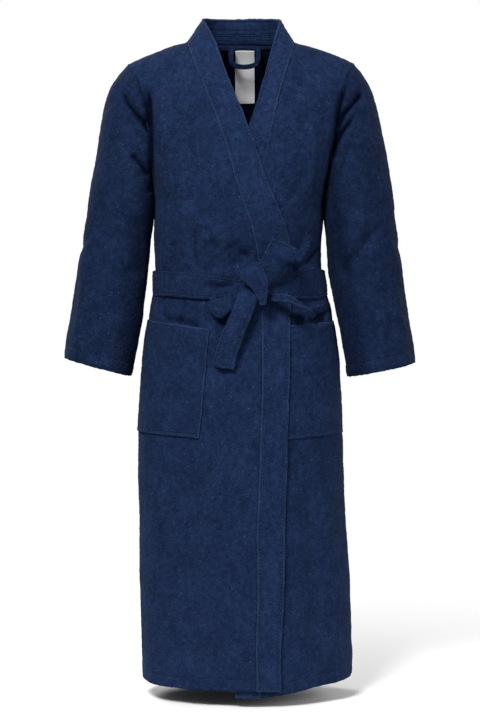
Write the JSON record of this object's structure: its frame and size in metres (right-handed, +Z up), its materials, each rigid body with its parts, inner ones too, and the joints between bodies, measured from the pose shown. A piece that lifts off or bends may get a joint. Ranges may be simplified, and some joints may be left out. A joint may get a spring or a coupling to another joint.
{
  "type": "kimono robe",
  "caption": "Knee-length terry robe in kimono cut, worn hollow form: lapped fronts, long neckband, wide sleeves, patch pockets and a tied belt.",
  "frame": {"origin": "between the shoulders, at the height where the neckband meets them", "axes": "+Z up, the front faces -Y, +X is the viewer's right seen from the front (the wearer's left)"},
  "size_m": [0.654, 0.2936, 1.2406],
  "materials": {
    "body_terry": "matte looped terry",
    "band_terry": "matte looped terry, doubled",
    "belt_terry": "matte looped terry, doubled",
    "label_tape": "smooth woven tape, bare"
  },
  "bodies": {
    "root": {"back": "body_terry", "front_right": "body_terry", "front_left": "body_terry", "sleeve_right": "body_terry", "sleeve_left": "body_terry", "neckband": "band_terry", "pocket_right": "body_terry", "pocket_left": "body_terry", "belt_waist": "belt_terry", "belt_knot": "belt_terry", "belt_end_upper": "belt_terry", "belt_end_lower": "belt_terry", "belt_loop_left": "belt_terry", "belt_loop_right": "belt_terry", "hanger_loop": "band_terry", "label": "label_tape"}
  },
  "joints": []
}
